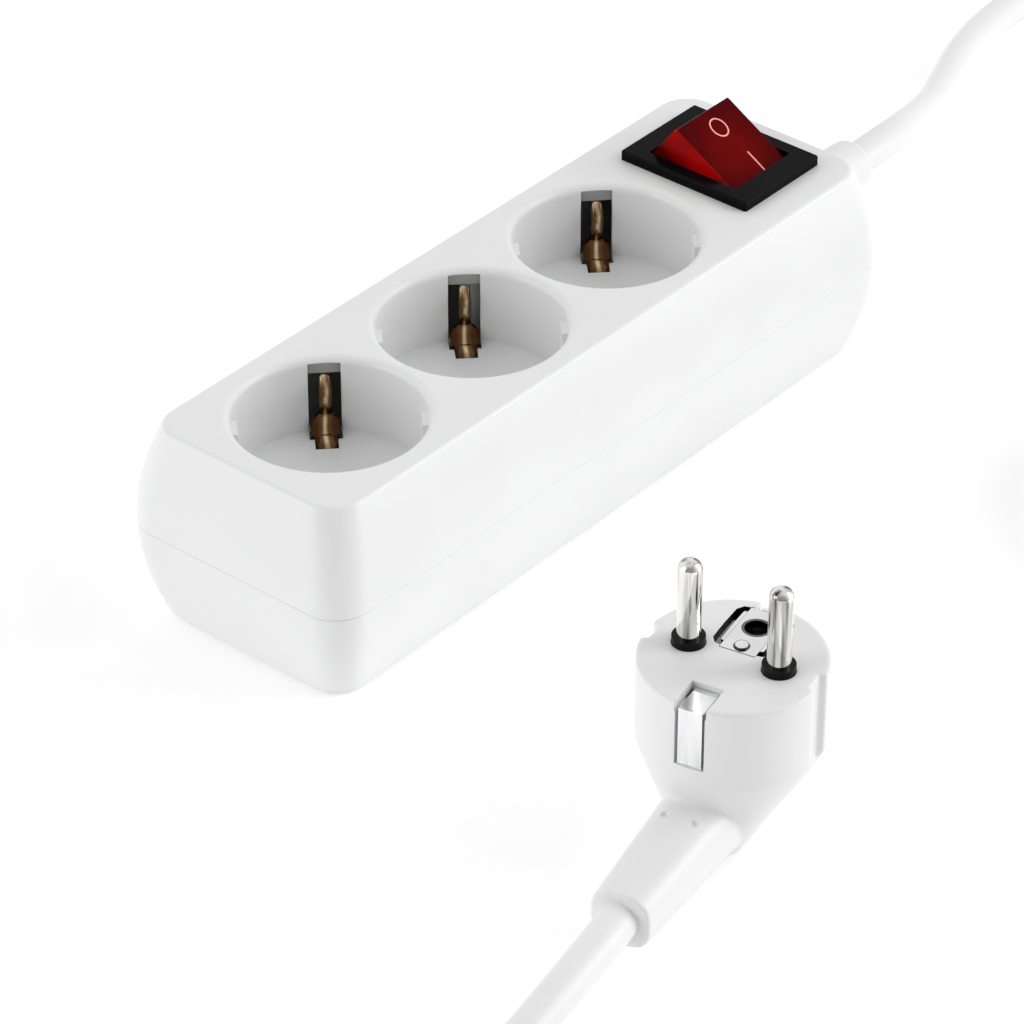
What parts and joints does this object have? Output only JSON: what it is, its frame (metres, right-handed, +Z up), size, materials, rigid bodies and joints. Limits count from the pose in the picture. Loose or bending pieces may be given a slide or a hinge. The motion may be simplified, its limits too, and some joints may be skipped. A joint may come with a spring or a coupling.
{
  "type": "power strip",
  "caption": "Three-way earthed power strip with round socket wells, a lit rocker switch, a round lead and an angled two-pin plug.",
  "frame": {"origin": "centre of the strip's underside, the lead and plug left out", "axes": "+X along the strip towards the end where the lead leaves, +Z up out of the sockets"},
  "size_m": [0.4905, 0.2596, 0.058],
  "materials": {
    "white_top": "semi-gloss moulded polypropylene",
    "white_base": "semi-gloss moulded polypropylene",
    "zinc_steel": "zinc plated",
    "brass_strip": "stamped brass",
    "bronze_spring": "phosphor bronze spring strip",
    "black_plastic": "semi-gloss black nylon",
    "red_rocker": "translucent red polycarbonate, polished",
    "lamp_glass": "clear lamp envelope",
    "white_cord": "smooth soft vinyl sheath",
    "white_boot": "satin moulded vinyl",
    "brown_insulation": "vinyl wire insulation",
    "blue_insulation": "vinyl wire insulation",
    "green_yellow_insulation": "green and yellow vinyl wire insulation",
    "white_plug": "satin moulded vinyl",
    "nickel_pin": "bright nickel plating",
    "nickel_strip": "nickel-plated strip"
  },
  "bodies": {
    "root": {"top_cover": "white_top", "base_cover": "white_base", "case_screws": "zinc_steel", "earth_bus": "brass_strip", "earth_clip_1": "bronze_spring", "earth_clip_2": "bronze_spring", "earth_clip_3": "bronze_spring", "live_bus": "brass_strip", "neutral_bus": "brass_strip", "live_contacts": "brass_strip", "neutral_contacts": "brass_strip", "switch_housing": "black_plastic", "indicator_lamp": "lamp_glass", "switch_terminals": "brass_strip", "cord_clamp": "white_base", "clamp_screws": "zinc_steel", "cord_sheath_end": "white_cord", "cord_boot": "white_boot", "wire_live_in": "brown_insulation", "wire_live_out": "brown_insulation", "wire_neutral_in": "blue_insulation", "wire_neutral_out": "blue_insulation", "wire_earth": "green_yellow_insulation", "cord_tube_strip": "white_cord", "cord_coil": "white_cord", "cord_tube_plug": "white_cord", "plug_body": "white_plug", "plug_core": "white_plug", "plug_pin_live": "nickel_pin", "plug_pin_neutral": "nickel_pin", "plug_pin_collars": "black_plastic", "plug_earth_bracket": "nickel_strip", "plug_earth_sleeve": "nickel_strip", "plug_sheath_end": "white_cord", "plug_wires": "brown_insulation"},
    "rocker": {"switch_rocker": "red_rocker", "switch_plungers": "black_plastic"},
    "levers": {"contact_levers": "bronze_spring"}
  },
  "joints": [
    {"name": "rocker_tilt", "type": "hinge", "parent": "root", "child": "rocker", "pos_m": [0.0671, 0, 0.0454], "axis": [1, 0, 0], "range_deg": [-60, 0]},
    {"name": "lever_tilt", "type": "hinge", "parent": "root", "child": "levers", "pos_m": [0.0671, 0, 0.0334], "axis": [1, 0, 0], "range_deg": [0, 24]}
  ],
  "couplings": [
    {"joint": "lever_tilt", "follows": "rocker_tilt", "ratio": -0.4}
  ]
}
